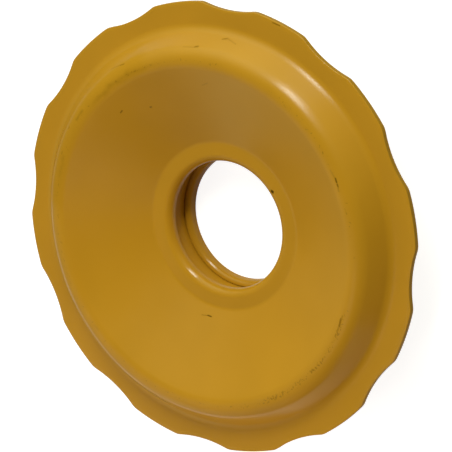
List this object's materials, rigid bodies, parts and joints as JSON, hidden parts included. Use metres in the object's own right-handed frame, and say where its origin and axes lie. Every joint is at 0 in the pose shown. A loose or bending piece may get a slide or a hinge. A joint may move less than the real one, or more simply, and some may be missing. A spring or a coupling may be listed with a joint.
{
  "type": "roller ring",
  "caption": "Pressed steel roller ring with a notched rim, a raised ridge, a dished face and a hub ring for the tube of a packer roller.",
  "frame": {"origin": "on the bore's axis, at the hub ring's end face, which the part stands on", "axes": "+Z along the bore's axis towards the dished face, +X through the middle of a rim notch"},
  "size_m": [0.5938, 0.5938, 0.1176],
  "materials": {
    "yellow_paint": "gloss golden yellow paint on steel, worn"
  },
  "bodies": {
    "root": {"pressed_disc": "yellow_paint", "hub_ring": "yellow_paint", "hub_weld": "yellow_paint"}
  },
  "joints": []
}
